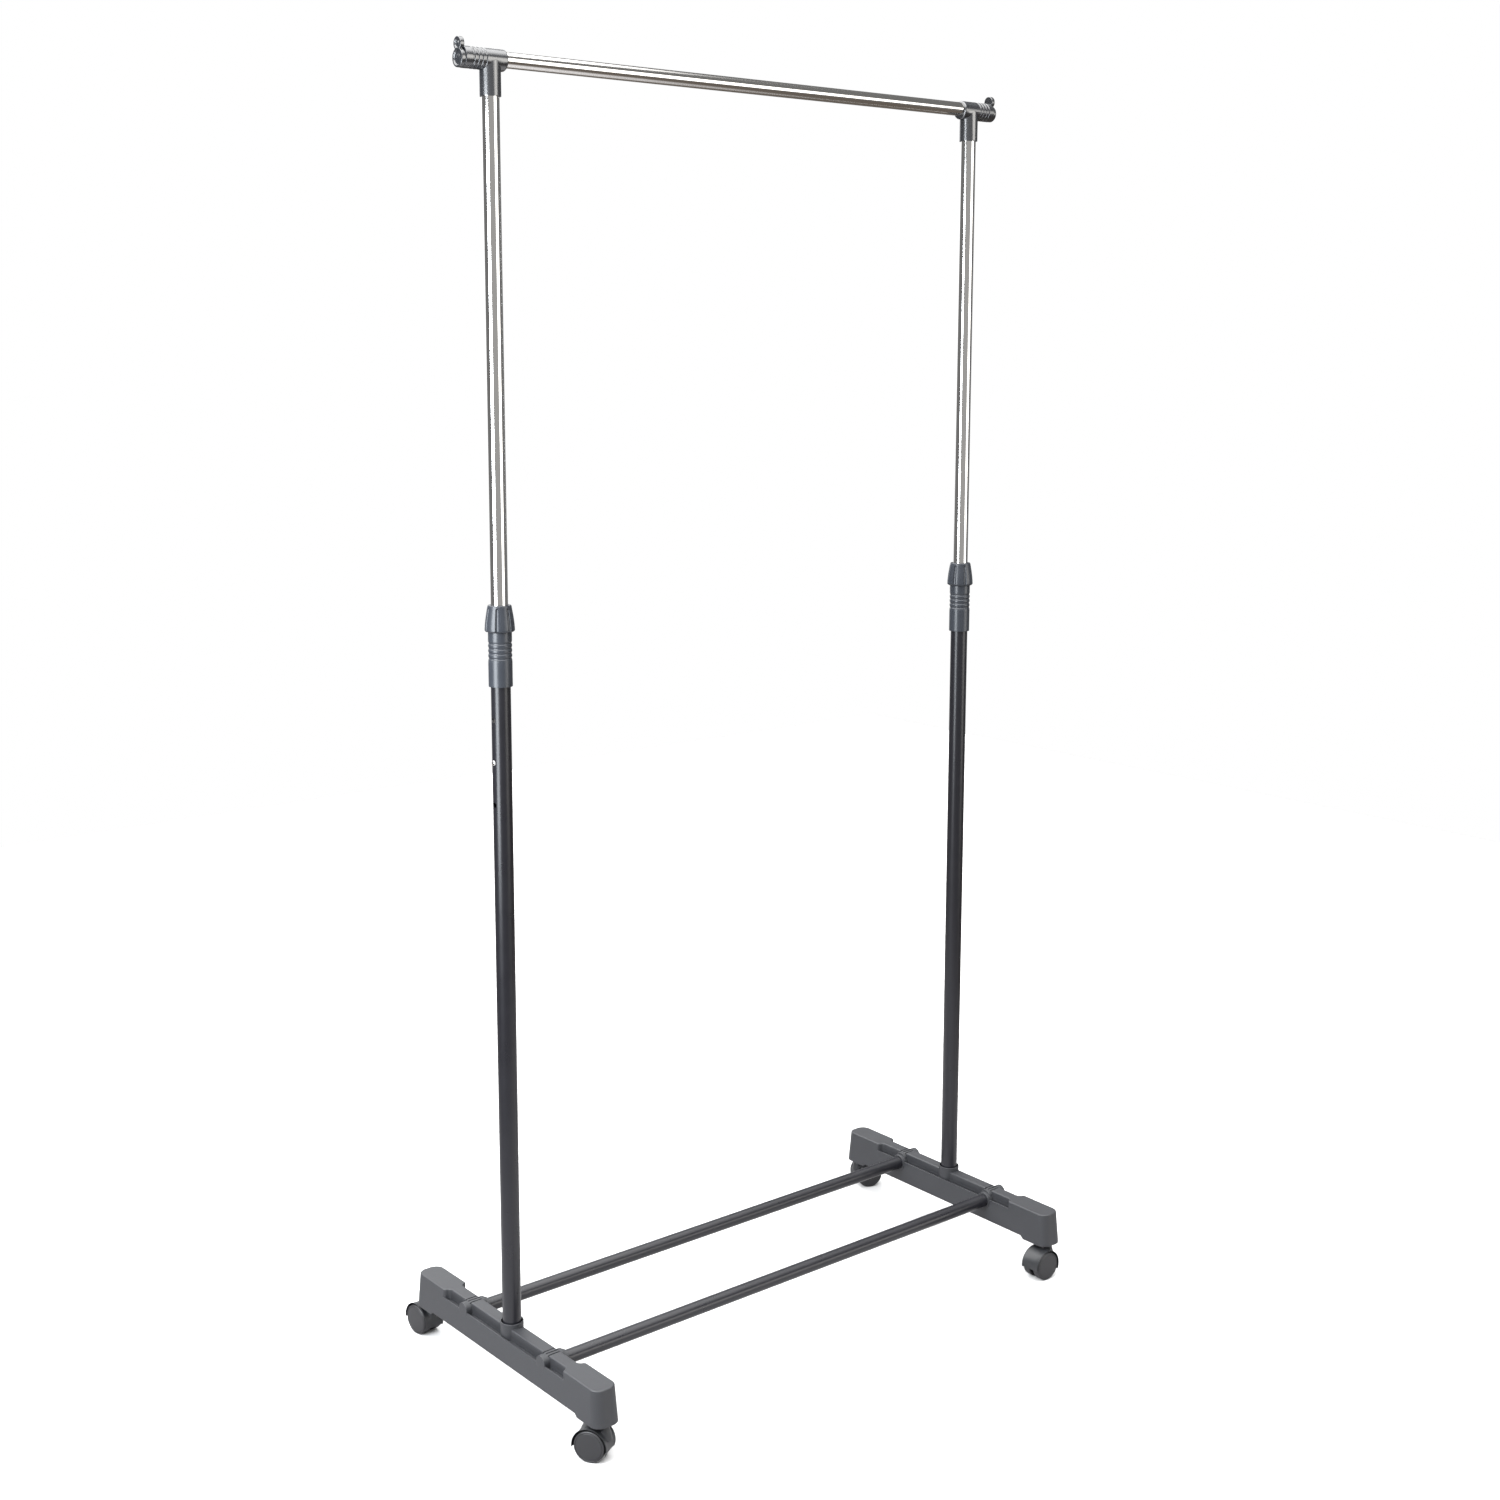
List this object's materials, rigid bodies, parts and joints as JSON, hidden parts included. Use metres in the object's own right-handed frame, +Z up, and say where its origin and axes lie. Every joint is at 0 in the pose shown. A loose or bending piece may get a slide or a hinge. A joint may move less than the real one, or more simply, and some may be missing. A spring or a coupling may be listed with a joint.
{
  "type": "garment rail",
  "caption": "Free-standing garment rail: telescoping uprights with lock nuts and snap buttons carry a bright hanging rail above a base of moulded feet, base bars and twin-wheel casters.",
  "frame": {"origin": "on the floor, midway between the two uprights", "axes": "+X along the hanging rail to the right, +Z up, -Y to the front"},
  "size_m": [0.7984, 0.4219, 1.5316],
  "materials": {
    "foot_plastic": "fine moulded texture",
    "black_tube": "semi-gloss powder coat",
    "chrome_tube": "bright polished tube",
    "chrome_rail": "bright polished tube",
    "adjuster_plastic": "satin",
    "connector_plastic": "semi-gloss",
    "caster_plastic": "satin",
    "wheel_plastic": "fine moulded texture",
    "inner_plastic": "natural",
    "zinc_steel": "zinc plated",
    "spring_steel": "plain",
    "bright_steel": "bright"
  },
  "bodies": {
    "base": {"left_foot": "foot_plastic", "left_lower_tube": "black_tube", "left_tube_plug": "inner_plastic", "left_upright_screw": "zinc_steel", "left_adjuster_sleeve": "adjuster_plastic", "left_collet": "inner_plastic", "right_foot": "foot_plastic", "right_lower_tube": "black_tube", "right_tube_plug": "inner_plastic", "right_upright_screw": "zinc_steel", "right_adjuster_sleeve": "adjuster_plastic", "right_collet": "inner_plastic", "front_base_bar": "black_tube", "rear_base_bar": "black_tube", "base_bar_screws": "zinc_steel", "left_front_caster_socket": "inner_plastic", "left_rear_caster_socket": "inner_plastic", "right_front_caster_socket": "inner_plastic", "right_rear_caster_socket": "inner_plastic"},
    "left_lock_nut": {"left_lock_nut": "adjuster_plastic"},
    "right_lock_nut": {"right_lock_nut": "adjuster_plastic"},
    "upper_frame": {"left_upper_tube": "chrome_tube", "left_guide_bush": "inner_plastic", "left_snap_spring": "spring_steel", "left_t_connector": "connector_plastic", "left_end_cap": "connector_plastic", "right_upper_tube": "chrome_tube", "right_guide_bush": "inner_plastic", "right_snap_spring": "spring_steel", "right_t_connector": "connector_plastic", "right_end_cap": "connector_plastic", "hanging_rail": "chrome_rail"},
    "left_snap_button": {"left_snap_button": "bright_steel"},
    "right_snap_button": {"right_snap_button": "bright_steel"},
    "left_front_swivel": {"left_front_caster_stem": "zinc_steel", "left_front_caster_hood": "caster_plastic", "left_front_caster_axle": "zinc_steel"},
    "left_front_wheel_a": {"left_front_caster_wheel_a": "wheel_plastic"},
    "left_front_wheel_b": {"left_front_caster_wheel_b": "wheel_plastic"},
    "left_rear_swivel": {"left_rear_caster_stem": "zinc_steel", "left_rear_caster_hood": "caster_plastic", "left_rear_caster_axle": "zinc_steel"},
    "left_rear_wheel_a": {"left_rear_caster_wheel_a": "wheel_plastic"},
    "left_rear_wheel_b": {"left_rear_caster_wheel_b": "wheel_plastic"},
    "right_front_swivel": {"right_front_caster_stem": "zinc_steel", "right_front_caster_hood": "caster_plastic", "right_front_caster_axle": "zinc_steel"},
    "right_front_wheel_a": {"right_front_caster_wheel_a": "wheel_plastic"},
    "right_front_wheel_b": {"right_front_caster_wheel_b": "wheel_plastic"},
    "right_rear_swivel": {"right_rear_caster_stem": "zinc_steel", "right_rear_caster_hood": "caster_plastic", "right_rear_caster_axle": "zinc_steel"},
    "right_rear_wheel_a": {"right_rear_caster_wheel_a": "wheel_plastic"},
    "right_rear_wheel_b": {"right_rear_caster_wheel_b": "wheel_plastic"}
  },
  "joints": [
    {"name": "height_slide", "type": "slide", "parent": "base", "child": "upper_frame", "axis": [0, 0, 1], "range_m": [-0.54, 0.048], "deforming": ["left_snap_button", "right_snap_button"]},
    {"name": "left_lock_nut_turn", "type": "hinge", "parent": "base", "child": "left_lock_nut", "pos_m": [-0.3592, 0, 0.9024], "axis": [0, 0, 1], "range_deg": [0, 270]},
    {"name": "left_button_push", "type": "slide", "parent": "upper_frame", "child": "left_snap_button", "axis": [1, 0, 0], "range_m": [0, 0.0034], "stiffness_N_per_m": 1500, "springref_m": -0.002, "deforming": ["left_snap_spring"]},
    {"name": "right_lock_nut_turn", "type": "hinge", "parent": "base", "child": "right_lock_nut", "pos_m": [0.3592, 0, 0.9024], "axis": [0, 0, 1], "range_deg": [0, 270]},
    {"name": "right_button_push", "type": "slide", "parent": "upper_frame", "child": "right_snap_button", "axis": [-1, 0, 0], "range_m": [0, 0.0034], "stiffness_N_per_m": 1500, "springref_m": -0.002, "deforming": ["right_snap_spring"]},
    {"name": "left_front_swivel", "type": "hinge", "parent": "base", "child": "left_front_swivel", "pos_m": [-0.3592, -0.1858, 0.0424], "axis": [0, 0, 1], "continuous": true},
    {"name": "left_front_wheel_a_roll", "type": "hinge", "parent": "left_front_swivel", "child": "left_front_wheel_a", "pos_m": [-0.36662, -0.17393, 0.0185], "axis": [-0.848, -0.5299, 0], "continuous": true},
    {"name": "left_front_wheel_b_roll", "type": "hinge", "parent": "left_front_swivel", "child": "left_front_wheel_b", "pos_m": [-0.36662, -0.17393, 0.0185], "axis": [-0.848, -0.5299, 0], "continuous": true},
    {"name": "left_rear_swivel", "type": "hinge", "parent": "base", "child": "left_rear_swivel", "pos_m": [-0.3592, 0.1858, 0.0424], "axis": [0, 0, 1], "continuous": true},
    {"name": "left_rear_wheel_a_roll", "type": "hinge", "parent": "left_rear_swivel", "child": "left_rear_wheel_a", "pos_m": [-0.36066, 0.19972, 0.0185], "axis": [-0.9945, -0.1045, 0], "continuous": true},
    {"name": "left_rear_wheel_b_roll", "type": "hinge", "parent": "left_rear_swivel", "child": "left_rear_wheel_b", "pos_m": [-0.36066, 0.19972, 0.0185], "axis": [-0.9945, -0.1045, 0], "continuous": true},
    {"name": "right_front_swivel", "type": "hinge", "parent": "base", "child": "right_front_swivel", "pos_m": [0.3592, -0.1858, 0.0424], "axis": [0, 0, 1], "continuous": true},
    {"name": "right_front_wheel_a_roll", "type": "hinge", "parent": "right_front_swivel", "child": "right_front_wheel_a", "pos_m": [0.3452, -0.1858, 0.0185], "axis": [0, -1, 0], "continuous": true},
    {"name": "right_front_wheel_b_roll", "type": "hinge", "parent": "right_front_swivel", "child": "right_front_wheel_b", "pos_m": [0.3452, -0.1858, 0.0185], "axis": [0, -1, 0], "continuous": true},
    {"name": "right_rear_swivel", "type": "hinge", "parent": "base", "child": "right_rear_swivel", "pos_m": [0.3592, 0.1858, 0.0424], "axis": [0, 0, 1], "continuous": true},
    {"name": "right_rear_wheel_a_roll", "type": "hinge", "parent": "right_rear_swivel", "child": "right_rear_wheel_a", "pos_m": [0.37218, 0.18056, 0.0185], "axis": [0.3746, 0.9272, 0], "continuous": true},
    {"name": "right_rear_wheel_b_roll", "type": "hinge", "parent": "right_rear_swivel", "child": "right_rear_wheel_b", "pos_m": [0.37218, 0.18056, 0.0185], "axis": [0.3746, 0.9272, 0], "continuous": true}
  ]
}
